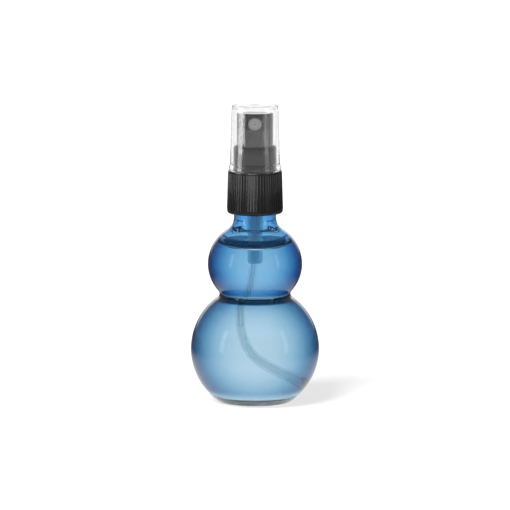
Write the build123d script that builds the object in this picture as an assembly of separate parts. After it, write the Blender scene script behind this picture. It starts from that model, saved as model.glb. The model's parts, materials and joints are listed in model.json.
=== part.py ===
from build123d import *
import os
from math import asin, cos, degrees, radians, sin, sqrt, tan

# A pocket perfume atomiser: a two-bulb glass bottle with a screw-on fine-mist pump.
# Millimetres. +Z is up, the origin is the centre of the base, and the nozzle faces -Y.

# ---- Driving dimensions ----------------------------------------------------------------
LOWER_BULB_R = 24.1
LOWER_BULB_Z = 19.8
UPPER_BULB_R = 17.7    # the upper bulb is slightly flattened
UPPER_BULB_HALF_H = 16.1
UPPER_BULB_Z = 52.1
WAIST_FILLET = 1.8
SHOULDER_FILLET = 5.6
HEEL_FILLET = 2.4
PUNT_R = 11.2          # radius of the hollow under the base
PUNT_DEPTH = 0.9
LOWER_BULB_WALL = 1.35
UPPER_BULB_WALL = 2.1
BASE_THICKNESS = 3.6
WAIST_BORE_FILLET = 2.5
SHOULDER_BORE_FILLET = 4.0
FLOOR_FILLET = 3.0

NECK_R = 7.9           # 18 mm neck finish: body radius under the thread
NECK_BORE_R = 4.3
FINISH_Z = 84.7        # sealing face at the top of the neck
LIP_FILLET = 0.5
THREAD_PITCH = 3.175   # eight threads to the inch
NECK_THREAD_R = 8.85
NECK_THREAD_TURNS = 2.0
NECK_THREAD_Z = 76.7   # middle of the thread at its lower end
THREAD_ROOT_W = 2.0
THREAD_CREST_W = 0.9
THREAD_SINK = 0.3      # how far a thread's foot goes into its wall

SKIRT_Z = 71.5         # lower edge of the closure
DECK_Z = 87.5          # top face of the closure's deck
DECK_THICKNESS = 1.0
SKIRT_BOTTOM_R = 10.2  # radius between the ribs
SKIRT_TOP_R = 9.78
SKIRT_BORE_R = 9.05
RIM_R = 10.5
RIM_H = 1.5
RIM_BEVEL = 0.6
RIB_COUNT = 60
RIB_R = 0.33
CLOSURE_THREAD_R = 8.1
CLOSURE_THREAD_TURNS = 1.25
FLANK_GAP = 0.15       # axial gap at the loaded flanks of the thread
TOWER_R = 8.15
TOWER_BORE_R = 7.1
TOWER_Z = 96.8
TOWER_BEAD_R = 8.3
TOWER_BEAD_Z = 88.8
DECK_HOLE_R = 5.7

CAP_TOP_Z = 112.1
CAP_TOP_R = 8.7
CAP_BOTTOM_R = 9.4
CAP_FOOT_R = 9.85
CAP_FOOT_H = 1.4
CAP_WALL = 0.8
CAP_ROOF = 1.1
CAP_SEAT_GAP = 0.05
CAP_BEAD_R = 8.36
CAP_BEAD_Z = 89.8

ACTUATOR_R = 6.85
ACTUATOR_Z = 93.0      # lower edge of the skirt at rest
ACTUATOR_TOP_Z = 109.5
ACTUATOR_WALL = 1.0
ACTUATOR_ROOF_Z = 101.0
ACTUATOR_DISH = 0.5
BOSS_R = 3.2
BOSS_Z = 97.3
NOZZLE_Z = 105.5
NOZZLE_R = 2.5
NOZZLE_FACE_Y = -6.2
NOZZLE_DEPTH = 3.6
NOZZLE_FACE_WALL = 0.7
ORIFICE_R = 0.15
POST_R = 1.0
POST_GAP = 0.05
SWIRL_GAP = 0.12

STEM_R = 1.95
STEM_TOP_Z = 102.2
STEM_BORE_R = 0.8
STEM_COLLAR_R = 2.7
STEM_COLLAR_Z = 88.1
STEM_COLLAR_H = 0.9
STEM_FOOT_R = 1.5
STEM_FOOT_Z = 81.5
STEM_PORT_R = 0.4
STEM_PORT_Z = 83.6

TURRET_FLANGE_R = 7.6
TURRET_FLANGE_Z = 85.5
TURRET_FLANGE_H = 1.0
TURRET_R = 5.6
TURRET_BEAD_R = 5.85
TURRET_TOP_Z = 90.5
TURRET_ROOF_Z = 89.1
TURRET_BORE_R = 4.6
TURRET_SNAP_R = 4.2
TURRET_STEM_R = 2.05

GASKET_H = 0.8
GASKET_R = 7.55
GASKET_BORE_R = 3.95

CHAMBER_R = 3.1
HOUSING_HEAD_R = 4.5
HOUSING_HEAD_Z = 86.9
HOUSING_TOP_Z = 89.0
HOUSING_R = 3.9
HOUSING_STEP_Z = 72.3
LOWER_BODY_R = 2.9
LOWER_BODY_Z = 64.0
VALVE_BODY_R = 2.66
VALVE_BODY_Z = 58.0
SOCKET_R = 2.1
SOCKET_Z = 52.2
CHAMBER_FLOOR_Z = 73.2
SEAT_BORE_R = 1.85
SEAT_LEDGE_Z = 63.6
BALL_BORE_R = 1.5
CONE_TOP_Z = 61.6
CONE_BOTTOM_Z = 60.9
INLET_R = 0.7
TUBE_STOP_Z = 60.4
VENT_R = 0.3
VENT_Z = 84.1

BALL_R = 1.2
BALL_SEAT_GAP = 0.01

PISTON_Z = 81.45
PISTON_TOP_Z = 87.3
PISTON_LIP_R = 3.08
PISTON_BODY_R = 2.6
PISTON_LIP_H = 1.1
PISTON_BORE_R = 1.52
PISTON_RECESS_R = 1.9
PISTON_RECESS_H = 2.8

POPPET_R = 2.3
POPPET_Z = 80.7
POPPET_RIM_H = 0.7
POPPET_SPIGOT_R = 1.3
POPPET_SPIGOT_Z = 79.0
POPPET_PLUG_Z = 82.9

SPRING_WIRE_R = 0.25
SPRING_MEAN_R = 1.95
SPRING_COILS = 5

SPRING_SEAT_FLANGE_R = 3.0
SPRING_SEAT_FLANGE_H = 0.6
SPRING_SEAT_R = 1.8
SPRING_SEAT_BORE_R = 1.0
SPRING_SEAT_SLOT_W = 0.6
SPRING_SEAT_SLOT_H = 1.0

TUBE_R = 1.1
TUBE_BORE_R = 0.6
# The tube leaves its socket, passes the waist and curls down along the back wall.
TUBE_ROUTE = [
    (0.0, 0.0, TUBE_STOP_Z - 0.1),
    (0.0, 0.0, 51.0),
    (-2.9, 1.9, 40.5),
    (-3.9, 7.6, 30.0),
    (-3.1, 13.4, 19.4),
    (1.4, 16.1, 13.1),
    (8.8, 15.7, 10.7),
]

FULL_TURN = 360


# ---- Helpers ---------------------------------------------------------------------------
def turned(points):
    """A solid turned about Z from a closed outline of (radius, height) points."""
    outline = Polyline(*points, close=True)
    return revolve(Plane.XZ * make_face(outline), Axis.Z)


def ring(outer_r, inner_r, low, high):
    """A plain ring about Z."""
    return turned([(inner_r, low), (outer_r, low), (outer_r, high), (inner_r, high)])


def disc(radius, low, high):
    """A plain cylinder on Z between two heights."""
    return Pos(0, 0, low) * Cylinder(radius, high - low, align=(Align.CENTER, Align.CENTER, Align.MIN))


def along_y(radius, near, far, height):
    """A cylinder along Y between two values of Y, at a height."""
    blank = Cylinder(radius, far - near, align=(Align.CENTER, Align.CENTER, Align.MIN))
    return Pos(0, near, height) * Rot(-90, 0, 0) * blank


def rounded(outline, low, high, radius):
    """An outline with its corners between two heights rounded off."""
    corners = [v for v in outline.vertices() if low < v.Y < high and v.X > THREAD_SINK]
    return fillet(corners, radius)


def half_plane(low, high):
    """The half plane of positive radius between two heights, wider than any piece."""
    return Pos(LOWER_BULB_R, (low + high) / 2) * Rectangle(2 * LOWER_BULB_R, high - low)


def two_bulbs(low_wall, high_wall, low, neck_r):
    """Outline of both bulbs and the neck above a height, drawn in by each bulb's wall."""
    lower = Pos(0, LOWER_BULB_Z) * Circle(LOWER_BULB_R - low_wall)
    upper = Pos(0, UPPER_BULB_Z) * Ellipse(UPPER_BULB_R - high_wall, UPPER_BULB_HALF_H - high_wall)
    neck = Pos(neck_r / 2, (UPPER_BULB_Z + FINISH_Z) / 2) * Rectangle(neck_r, FINISH_Z - UPPER_BULB_Z)
    return (lower + upper + neck) & half_plane(low, FINISH_Z)


def thread(wall_r, crest_r, turns, start_z):
    """A helical thread whose foot is sunk into the wall that carries it."""
    outward = 1 if crest_r > wall_r else -1
    foot_r = wall_r - outward * THREAD_SINK
    depth = abs(crest_r - wall_r)
    foot_w = THREAD_ROOT_W + (THREAD_ROOT_W - THREAD_CREST_W) * THREAD_SINK / depth
    section = make_face(
        Polyline(
            (foot_r, -foot_w / 2),
            (crest_r, -THREAD_CREST_W / 2),
            (crest_r, THREAD_CREST_W / 2),
            (foot_r, foot_w / 2),
            close=True,
        )
    )
    path = Helix(THREAD_PITCH, turns * THREAD_PITCH, (foot_r + crest_r) / 2)
    return Pos(0, 0, start_z) * sweep(Plane.XZ * section, path, is_frenet=True)


# ---- Bottle ----------------------------------------------------------------------------
def bottle():
    """Glass bottle: two bulbs, a tight waist, a threaded neck and a hollow under its base."""
    outside = two_bulbs(0, 0, 0, NECK_R)
    outside = rounded(outside, LOWER_BULB_Z + 1, UPPER_BULB_Z - 1, WAIST_FILLET)
    outside = rounded(outside, UPPER_BULB_Z + 1, FINISH_Z - 1, SHOULDER_FILLET)
    outside = rounded(outside, -0.1, 0.1, HEEL_FILLET)
    outside = rounded(outside, FINISH_Z - 0.1, FINISH_Z + 0.1, LIP_FILLET)

    inside = two_bulbs(LOWER_BULB_WALL, UPPER_BULB_WALL, BASE_THICKNESS, NECK_BORE_R)
    inside = rounded(inside, LOWER_BULB_Z + 1, UPPER_BULB_Z - 1, WAIST_BORE_FILLET)
    inside = rounded(inside, UPPER_BULB_Z + 1, FINISH_Z - 1, SHOULDER_BORE_FILLET)
    inside = rounded(inside, BASE_THICKNESS - 0.1, BASE_THICKNESS + 0.1, FLOOR_FILLET)

    punt_sphere_r = (PUNT_R**2 + PUNT_DEPTH**2) / (2 * PUNT_DEPTH)
    punt = Pos(0, 0, PUNT_DEPTH - punt_sphere_r) * Sphere(punt_sphere_r)
    glass = revolve(Plane.XZ * (outside - inside), Axis.Z) - punt
    return glass + thread(NECK_R, NECK_THREAD_R, NECK_THREAD_TURNS, NECK_THREAD_Z)


# ---- Closure and overcap ---------------------------------------------------------------
def closure():
    """Ribbed screw closure with the tower that the actuator slides in."""
    under_deck = DECK_Z - DECK_THICKNESS
    shell = turned(
        [
            (SKIRT_BORE_R, SKIRT_Z),
            (RIM_R - RIM_BEVEL, SKIRT_Z),
            (RIM_R - 0.1, SKIRT_Z + RIM_BEVEL),
            (RIM_R, SKIRT_Z + RIM_H),
            (SKIRT_BOTTOM_R, SKIRT_Z + RIM_H + 0.1),
            (SKIRT_TOP_R, DECK_Z - 0.9),
            (SKIRT_TOP_R + 0.3, DECK_Z - 0.7),
            (SKIRT_TOP_R + 0.3, DECK_Z - 0.2),
            (SKIRT_TOP_R + 0.1, DECK_Z),
            (TOWER_R, DECK_Z),
            (TOWER_R, TOWER_BEAD_Z - 0.3),
            (TOWER_BEAD_R, TOWER_BEAD_Z),
            (TOWER_R, TOWER_BEAD_Z + 0.3),
            (TOWER_R, TOWER_Z - 0.8),
            (TOWER_R - 0.25, TOWER_Z - 0.2),
            (TOWER_R - 0.7, TOWER_Z),
            (TOWER_BORE_R + 0.2, TOWER_Z),
            (TOWER_BORE_R, TOWER_Z - 0.2),
            (TOWER_BORE_R, DECK_Z),
            (DECK_HOLE_R, DECK_Z),
            (DECK_HOLE_R, under_deck),
            (SKIRT_BORE_R, under_deck),
        ]
    )
    rib_low = SKIRT_Z + RIM_H - 0.1
    rib_high = DECK_Z - 0.8
    lean = (SKIRT_BOTTOM_R - SKIRT_TOP_R) / (rib_high - rib_low)
    rib = Pos(SKIRT_BOTTOM_R, 0, rib_low) * Rot(0, -degrees(lean), 0) * Cylinder(
        RIB_R, rib_high - rib_low, align=(Align.CENTER, Align.CENTER, Align.MIN)
    )
    ribs = [Rot(0, 0, i * FULL_TURN / RIB_COUNT) * rib for i in range(RIB_COUNT)]
    # The closure's thread bears on the underside of the neck's thread.
    middle_r = (CLOSURE_THREAD_R + NECK_THREAD_R) / 2
    neck_half = flank_half(NECK_R, NECK_THREAD_R, middle_r)
    own_half = flank_half(SKIRT_BORE_R, CLOSURE_THREAD_R, middle_r)
    below = neck_half + own_half + FLANK_GAP
    start_z = NECK_THREAD_Z + THREAD_PITCH - below
    return shell + ribs + thread(SKIRT_BORE_R, CLOSURE_THREAD_R, CLOSURE_THREAD_TURNS, start_z)


def flank_half(wall_r, crest_r, at_r):
    """Half the width of a thread at a radius."""
    share = (at_r - wall_r) / (crest_r - wall_r)
    return (THREAD_ROOT_W + (THREAD_CREST_W - THREAD_ROOT_W) * share) / 2


def overcap():
    """Clear push-on hood with a stepped foot and a shallow inner bead."""
    foot_z = DECK_Z + CAP_SEAT_GAP
    inner_top = CAP_TOP_Z - CAP_ROOF
    inner_top_r = CAP_TOP_R - CAP_WALL
    return turned(
        [
            (0, CAP_TOP_Z),
            (CAP_TOP_R - 0.5, CAP_TOP_Z),
            (CAP_TOP_R - 0.15, CAP_TOP_Z - 0.15),
            (CAP_TOP_R, CAP_TOP_Z - 0.5),
            (CAP_BOTTOM_R, foot_z + CAP_FOOT_H + 0.9),
            (CAP_FOOT_R, foot_z + CAP_FOOT_H),
            (CAP_FOOT_R, foot_z),
            (CAP_BEAD_R + 0.1, foot_z),
            (CAP_BEAD_R + 0.1, CAP_BEAD_Z - 0.3),
            (CAP_BEAD_R, CAP_BEAD_Z),
            (CAP_BEAD_R + 0.1, CAP_BEAD_Z + 0.3),
            (CAP_BEAD_R + 0.1, CAP_BEAD_Z + 1.0),
            (inner_top_r, inner_top - 0.4),
            (inner_top_r - 0.4, inner_top),
            (0, inner_top),
        ]
    )


# ---- Actuator --------------------------------------------------------------------------
def actuator():
    """Finger button: a hollow skirt, a boss for the stem and a bore for the nozzle insert."""
    skirt_r = ACTUATOR_R - ACTUATOR_WALL
    body = turned(
        [
            (0, BOSS_Z),
            (BOSS_R, BOSS_Z),
            (BOSS_R, ACTUATOR_ROOF_Z),
            (skirt_r, ACTUATOR_ROOF_Z),
            (skirt_r, ACTUATOR_Z),
            (ACTUATOR_R, ACTUATOR_Z),
            (ACTUATOR_R, ACTUATOR_TOP_Z - 0.5),
            (ACTUATOR_R - 0.15, ACTUATOR_TOP_Z - 0.15),
            (ACTUATOR_R - 0.5, ACTUATOR_TOP_Z),
            (0, ACTUATOR_TOP_Z),
        ]
    )
    dish_edge_r = ACTUATOR_R - 0.9
    dish_r = (dish_edge_r**2 + ACTUATOR_DISH**2) / (2 * ACTUATOR_DISH)
    body -= Pos(0, 0, ACTUATOR_TOP_Z - ACTUATOR_DISH + dish_r) * Sphere(dish_r)
    insert_back_y = NOZZLE_FACE_Y + NOZZLE_DEPTH
    body -= disc(STEM_R, BOSS_Z, STEM_TOP_Z + 0.1)
    body -= along_y(NOZZLE_R, -ACTUATOR_R - 1, insert_back_y, NOZZLE_Z)
    annulus_back_y = 0.2
    annulus = along_y(NOZZLE_R - 0.3, insert_back_y, annulus_back_y, NOZZLE_Z)
    body -= annulus
    body -= disc(STEM_BORE_R, STEM_TOP_Z, NOZZLE_Z - POST_R - 0.1)
    post_tip_y = NOZZLE_FACE_Y + NOZZLE_FACE_WALL + SWIRL_GAP
    return body + along_y(POST_R, post_tip_y, annulus_back_y + 0.1, NOZZLE_Z)


def nozzle_insert():
    """Cup that is pressed over the post: swirl chamber, fine orifice and dished face."""
    back_y = NOZZLE_FACE_Y + NOZZLE_DEPTH
    inner_y = NOZZLE_FACE_Y + NOZZLE_FACE_WALL
    cup = along_y(NOZZLE_R, NOZZLE_FACE_Y, back_y, NOZZLE_Z)
    cup -= along_y(POST_R + POST_GAP, inner_y, back_y, NOZZLE_Z)
    cup -= along_y(ORIFICE_R, NOZZLE_FACE_Y - 1, inner_y + 0.1, NOZZLE_Z)
    dimple = Cone(0.25, 0.55, 0.3, align=(Align.CENTER, Align.CENTER, Align.MAX))
    cup -= Pos(0, NOZZLE_FACE_Y, NOZZLE_Z) * Rot(90, 0, 0) * Pos(0, 0, 0.01) * dimple
    feed = Box(0.5, 1.2, 2 * NOZZLE_R + 1)
    return cup - Pos(0, back_y - 0.5, NOZZLE_Z) * feed


# ---- Pump ------------------------------------------------------------------------------
def turret():
    """Retainer that holds the pump in the closure and guides the stem."""
    flange_top = TURRET_FLANGE_Z + TURRET_FLANGE_H
    bead_z = DECK_Z + 0.1
    return turned(
        [
            (TURRET_SNAP_R + 0.3, TURRET_FLANGE_Z),
            (TURRET_FLANGE_R, TURRET_FLANGE_Z),
            (TURRET_FLANGE_R, flange_top - 0.02),
            (TURRET_R, flange_top - 0.02),
            (TURRET_R, bead_z),
            (TURRET_BEAD_R, bead_z + 0.05),
            (TURRET_BEAD_R, bead_z + 0.3),
            (TURRET_R, bead_z + 0.8),
            (TURRET_R, TURRET_TOP_Z - 0.3),
            (TURRET_R - 0.3, TURRET_TOP_Z),
            (TURRET_STEM_R, TURRET_TOP_Z),
            (TURRET_STEM_R, TURRET_ROOF_Z),
            (TURRET_BORE_R, TURRET_ROOF_Z),
            (TURRET_BORE_R, HOUSING_HEAD_Z - 0.05),
            (TURRET_SNAP_R, HOUSING_HEAD_Z - 0.15),
            (TURRET_SNAP_R, HOUSING_HEAD_Z - 0.5),
        ]
    )


def gasket():
    """Soft washer between the turret's flange and the neck."""
    return ring(GASKET_R, GASKET_BORE_R, FINISH_Z, FINISH_Z + GASKET_H)


def pump_housing():
    """Pump cylinder, inlet valve body and dip tube socket in one moulding."""
    body = turned(
        [
            (CHAMBER_R, HOUSING_TOP_Z),
            (CHAMBER_R, CHAMBER_FLOOR_Z),
            (SEAT_BORE_R, CHAMBER_FLOOR_Z),
            (SEAT_BORE_R, SEAT_LEDGE_Z),
            (BALL_BORE_R, SEAT_LEDGE_Z),
            (BALL_BORE_R, CONE_TOP_Z),
            (INLET_R, CONE_BOTTOM_Z),
            (INLET_R, TUBE_STOP_Z),
            (TUBE_R, TUBE_STOP_Z),
            (TUBE_R, SOCKET_Z),
            (SOCKET_R - 0.4, SOCKET_Z),
            (SOCKET_R, SOCKET_Z + 0.6),
            (SOCKET_R, VALVE_BODY_Z - 0.3),
            (VALVE_BODY_R, VALVE_BODY_Z),
            (VALVE_BODY_R, LOWER_BODY_Z - 0.3),
            (LOWER_BODY_R, LOWER_BODY_Z),
            (LOWER_BODY_R, HOUSING_STEP_Z - 1.2),
            (HOUSING_R, HOUSING_STEP_Z),
            (HOUSING_R, HOUSING_HEAD_Z),
            (HOUSING_HEAD_R, HOUSING_HEAD_Z + 0.1),
            (HOUSING_HEAD_R, HOUSING_TOP_Z),
        ]
    )
    return body - along_y(VENT_R, 0, HOUSING_R + 1, VENT_Z)


def stem():
    """Hollow piston rod with its stop collar and two outlet ports."""
    body = turned(
        [
            (STEM_BORE_R, STEM_FOOT_Z),
            (STEM_FOOT_R, STEM_FOOT_Z),
            (STEM_FOOT_R, STEM_COLLAR_Z),
            (STEM_COLLAR_R, STEM_COLLAR_Z),
            (STEM_COLLAR_R, STEM_COLLAR_Z + STEM_COLLAR_H),
            (STEM_R, STEM_COLLAR_Z + STEM_COLLAR_H),
            (STEM_R, STEM_TOP_Z - 0.3),
            (STEM_R - 0.3, STEM_TOP_Z),
            (STEM_BORE_R, STEM_TOP_Z),
        ]
    )
    return body - along_y(STEM_PORT_R, -STEM_FOOT_R - 1, STEM_FOOT_R + 1, STEM_PORT_Z)


def piston():
    """Soft piston with a lip at each end, which slips on the stem to open the outlet."""
    flare = 0.35
    return turned(
        [
            (PISTON_RECESS_R, PISTON_Z),
            (PISTON_RECESS_R + 0.3, PISTON_Z),
            (PISTON_LIP_R - flare, PISTON_Z + 0.5),
            (PISTON_LIP_R - 0.1, PISTON_Z),
            (PISTON_LIP_R, PISTON_Z + 0.1),
            (PISTON_BODY_R, PISTON_Z + PISTON_LIP_H),
            (PISTON_BODY_R, PISTON_TOP_Z - PISTON_LIP_H),
            (PISTON_LIP_R, PISTON_TOP_Z - 0.1),
            (PISTON_LIP_R - 0.1, PISTON_TOP_Z),
            (PISTON_LIP_R - flare, PISTON_TOP_Z - 0.6),
            (PISTON_BORE_R + 0.4, PISTON_TOP_Z - 0.6),
            (PISTON_BORE_R, PISTON_TOP_Z - 0.6),
            (PISTON_BORE_R, PISTON_Z + PISTON_RECESS_H),
            (PISTON_RECESS_R, PISTON_Z + PISTON_RECESS_H - 0.3),
        ]
    )


def poppet():
    """Plug in the stem's foot: outlet valve seat above, spring spigot below."""
    rim_top = POPPET_Z + POPPET_RIM_H
    return turned(
        [
            (0, POPPET_SPIGOT_Z),
            (POPPET_SPIGOT_R - 0.2, POPPET_SPIGOT_Z),
            (POPPET_SPIGOT_R, POPPET_SPIGOT_Z + 0.2),
            (POPPET_SPIGOT_R, POPPET_Z),
            (POPPET_R, POPPET_Z),
            (POPPET_R, rim_top),
            (STEM_FOOT_R + 0.1, STEM_FOOT_Z),
            (STEM_BORE_R, STEM_FOOT_Z),
            (STEM_BORE_R, POPPET_PLUG_Z - 0.2),
            (STEM_BORE_R - 0.2, POPPET_PLUG_Z),
            (0, POPPET_PLUG_Z),
        ]
    )


def return_spring():
    """Compression spring whose end turns are closed, standing on the spring seat."""
    low = CHAMBER_FLOOR_Z + SPRING_SEAT_FLANGE_H + SPRING_WIRE_R
    high = POPPET_Z - SPRING_WIRE_R
    path = Helix((high - low) / SPRING_COILS, high - low, SPRING_MEAN_R)
    wire = Plane(origin=path @ 0, z_dir=path % 0) * Circle(SPRING_WIRE_R)
    coil = Pos(0, 0, low) * sweep(wire, path, is_frenet=True)
    end_turn = Torus(SPRING_MEAN_R, SPRING_WIRE_R)
    return coil + Pos(0, 0, low) * end_turn + Pos(0, 0, high) * end_turn


def spring_seat():
    """Flanged sleeve that carries the spring and keeps the ball in its cage."""
    flange_top = CHAMBER_FLOOR_Z + SPRING_SEAT_FLANGE_H
    sleeve = turned(
        [
            (SPRING_SEAT_BORE_R, SEAT_LEDGE_Z),
            (SPRING_SEAT_R, SEAT_LEDGE_Z),
            (SPRING_SEAT_R, CHAMBER_FLOOR_Z),
            (SPRING_SEAT_FLANGE_R, CHAMBER_FLOOR_Z),
            (SPRING_SEAT_FLANGE_R, flange_top),
            (SPRING_SEAT_BORE_R, flange_top),
        ]
    )
    slot = Box(SPRING_SEAT_SLOT_W, 4 * SPRING_SEAT_R, 2 * SPRING_SEAT_SLOT_H)
    slot = Pos(0, 0, SEAT_LEDGE_Z) * slot
    return sleeve - slot - Rot(0, 0, 90) * slot


def check_ball():
    """Inlet valve ball, resting in its cone."""
    slope = (CONE_TOP_Z - CONE_BOTTOM_Z) / (BALL_BORE_R - INLET_R)
    tilt = asin(slope / sqrt(1 + slope**2))
    contact_z = CONE_BOTTOM_Z + (BALL_R * sin(tilt) - INLET_R) * slope
    return Pos(0, 0, contact_z + BALL_R * cos(tilt) + BALL_SEAT_GAP) * Sphere(BALL_R)


def dip_tube():
    """Suction tube with a slanted end, running along the back wall of the lower bulb."""
    radii = []
    points = [Vector(*p) for p in TUBE_ROUTE]
    for before, here, after in zip(points, points[1:], points[2:]):
        turn = (here - before).get_angle(after - here)
        shorter = min((here - before).length, (after - here).length)
        radii.append(0.45 * shorter / tan(radians(turn) / 2))
    path = FilletPolyline(*points, radius=radii)
    section = Plane(origin=path @ 0, z_dir=path % 0)
    tube = sweep(section * (Circle(TUBE_R) - Circle(TUBE_BORE_R)), path)
    print("dip tube: length", round(path.length, 1), "bend radii", [round(r, 1) for r in radii])
    return tube


PARTS = {
    "bottle": bottle,
    "closure": closure,
    "overcap": overcap,
    "actuator": actuator,
    "nozzle_insert": nozzle_insert,
    "turret": turret,
    "gasket": gasket,
    "pump_housing": pump_housing,
    "stem": stem,
    "piston": piston,
    "poppet": poppet,
    "return_spring": return_spring,
    "spring_seat": spring_seat,
    "check_ball": check_ball,
    "dip_tube": dip_tube,
}

os.makedirs("parts", exist_ok=True)
for name, make in PARTS.items():
    export_step(make(), f"parts/{name}.step")
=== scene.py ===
import json
import math

import bpy
import numpy as np
from bpy.props import FloatProperty, FloatVectorProperty, PointerProperty
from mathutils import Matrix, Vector


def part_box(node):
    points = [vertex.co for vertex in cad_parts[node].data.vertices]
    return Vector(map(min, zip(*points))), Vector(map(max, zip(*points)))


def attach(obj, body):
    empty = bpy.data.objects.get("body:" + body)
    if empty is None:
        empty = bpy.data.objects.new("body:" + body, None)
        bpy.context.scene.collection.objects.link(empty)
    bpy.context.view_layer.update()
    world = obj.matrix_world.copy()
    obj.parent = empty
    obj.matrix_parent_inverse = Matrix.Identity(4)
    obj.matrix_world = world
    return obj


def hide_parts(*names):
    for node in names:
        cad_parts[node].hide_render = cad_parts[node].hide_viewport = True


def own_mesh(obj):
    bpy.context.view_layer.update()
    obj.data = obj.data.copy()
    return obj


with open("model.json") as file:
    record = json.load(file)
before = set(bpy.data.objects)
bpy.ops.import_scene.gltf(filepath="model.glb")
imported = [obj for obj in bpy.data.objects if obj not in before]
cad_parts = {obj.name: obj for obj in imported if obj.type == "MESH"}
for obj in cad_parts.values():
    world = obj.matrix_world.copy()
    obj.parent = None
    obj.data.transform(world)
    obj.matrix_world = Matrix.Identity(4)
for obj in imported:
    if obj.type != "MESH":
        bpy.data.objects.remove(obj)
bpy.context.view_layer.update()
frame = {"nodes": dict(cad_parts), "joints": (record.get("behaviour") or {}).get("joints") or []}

bl_info = {
    "name": "Perfume Atomiser",
    "version": (1, 0, 0),
    "blender": (4, 5, 0),
    "location": "3D View > Sidebar > Atomiser",
    "description": "Models a two-bulb glass perfume atomiser around its CAD frame",
    "category": "Object",
}

MM = 0.001
SEED_R = 1e-4            # the start of every outline is a tiny circle merged to a point
ROUND_STEPS = 160        # steps around the large round pieces
SMALL_ROUND_STEPS = 64
MERGE_DISTANCE = 2e-6
FINE_STEP = 0.02         # spacing of the points that a corner is rounded on, in mm
TURN_LIMIT = math.radians(2.6)
LENGTH_LIMIT = 2.2       # longest straight piece of an outline, in mm
CREASE_ANGLE = math.radians(32)
RIB_COUNT = 60
SENSOR_WIDTH = 36        # of the camera, in mm
STRIP_LIT_SLOTS = ("black_plastic", "black_gloss_plastic", "grey_plastic", "clear_plastic")
CLEAR_PIECES = ("glass_bottle", "perfume", "clear_overcap")     # ambient light passes through


# ---- Settings --------------------------------------------------------------------------
def length(name, description, default):
    """A length in millimetres on this page, and in metres in Blender."""
    return FloatProperty(
        name=name, description=description, default=default * MM, unit="LENGTH", precision=5
    )


def share(name, description, default):
    """A plain number from 0 up."""
    return FloatProperty(
        name=name, description=description, default=default, min=0.0, subtype="FACTOR"
    )


def colour(name, description, default):
    """A linear red, green and blue colour."""
    return FloatVectorProperty(
        name=name, description=description, default=default, size=3, subtype="COLOR", min=0.0, max=1.0
    )


class BottleSettings(bpy.types.PropertyGroup):
    """Sizes of the blown glass bottle."""

    lower_r: length("Lower bulb radius", "Outer radius of the lower bulb", 24.1)
    lower_z: length("Lower bulb height", "Height of the lower bulb's middle", 19.8)
    upper_r: length("Upper bulb radius", "Outer radius of the upper bulb", 17.7)
    upper_half_h: length("Upper bulb half height", "Half the height of the upper bulb", 16.1)
    upper_z: length("Upper bulb height", "Height of the upper bulb's middle", 52.1)
    lower_wall: length("Lower wall", "Glass thickness of the lower bulb", 1.35)
    upper_wall: length("Upper wall", "Glass thickness of the upper bulb", 2.1)
    waist_fillet: length("Waist rounding", "Rounding between the bulbs", 1.8)
    waist_bore_fillet: length("Inner waist rounding", "Rounding between the bulbs inside", 2.5)
    shoulder_fillet: length("Shoulder rounding", "Sweep from the upper bulb to the neck", 5.6)
    shoulder_bore_fillet: length("Inner shoulder rounding", "Rounding at the foot of the bore", 4.0)
    heel_fillet: length("Heel rounding", "Rounding where the bulb meets its base", 2.4)
    floor_fillet: length("Floor rounding", "Rounding around the floor inside", 3.0)
    base_thickness: length("Base thickness", "Glass under the perfume", 3.6)
    punt_r: length("Punt radius", "Radius of the hollow under the base", 11.2)
    punt_depth: length("Punt depth", "Depth of the hollow under the base", 0.9)
    neck_r: length("Neck radius", "Outer radius of the neck", 7.9)
    neck_bore_r: length("Bore radius", "Radius of the neck's bore", 4.3)
    lip_fillet: length("Lip rounding", "Rounding of the neck's lip", 0.5)
    lower_tint: share("Lower tint", "Depth of the tint on the lower bulb", 0.65)
    upper_tint: share("Upper tint", "Depth of the tint on the upper bulb", 1.33)
    neck_tint: share("Neck tint", "Depth of the tint on the neck", 2.5)
    rim_shade: share("Rim shade", "How much darker the glass looks along its skin", 1.0)
    tint_weights: FloatVectorProperty(
        name="Tint weights", description="How strongly the tint holds back red, green and blue",
        default=(1.0, 0.41, 0.105), size=3,
    )


class PerfumeSettings(bpy.types.PropertyGroup):
    """The perfume's level and film."""

    level: length("Level", "Height of the perfume's flat surface", 57.7)
    film: length("Film", "Gap between the perfume's skin and the glass", 0.03)
    contact_z: length("Contact height", "Where the perfume's edge clings to the glass", 62.0)
    tube_level: length("Tube level", "Foot of the air inside the dip tube", 23.3)


class ClosureSettings(bpy.types.PropertyGroup):
    """Sizes of the ribbed screw closure and its tower."""

    rib_width: length("Rib width", "Width of one rib", 0.52)
    rib_height: length("Rib height", "How far a rib stands out", 0.33)
    plastic_colour: colour("Black plastic", "Colour of the closure", (0.007, 0.007, 0.0075))


class SpraySettings(bpy.types.PropertyGroup):
    """Colours of the spray button and its insert."""

    button_colour: colour("Button", "Colour of the button", (0.006, 0.006, 0.0063))
    insert_colour: colour("Insert", "Colour of the nozzle insert", (0.24, 0.24, 0.25))


class StageSettings(bpy.types.PropertyGroup):
    """Camera and studio light."""

    elevation: FloatProperty(
        name="Elevation", description="Camera angle above level", default=math.radians(8.8), subtype="ANGLE"
    )
    distance: length("Distance", "Camera distance from its target", 1750.0)
    target_z: length("Target", "Height the camera looks at", 55.4)
    view_width: length("View width", "Width of the view at the object", 191.25)
    key_strength: share("Key", "Strength of the soft key light", 2.3)


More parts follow.
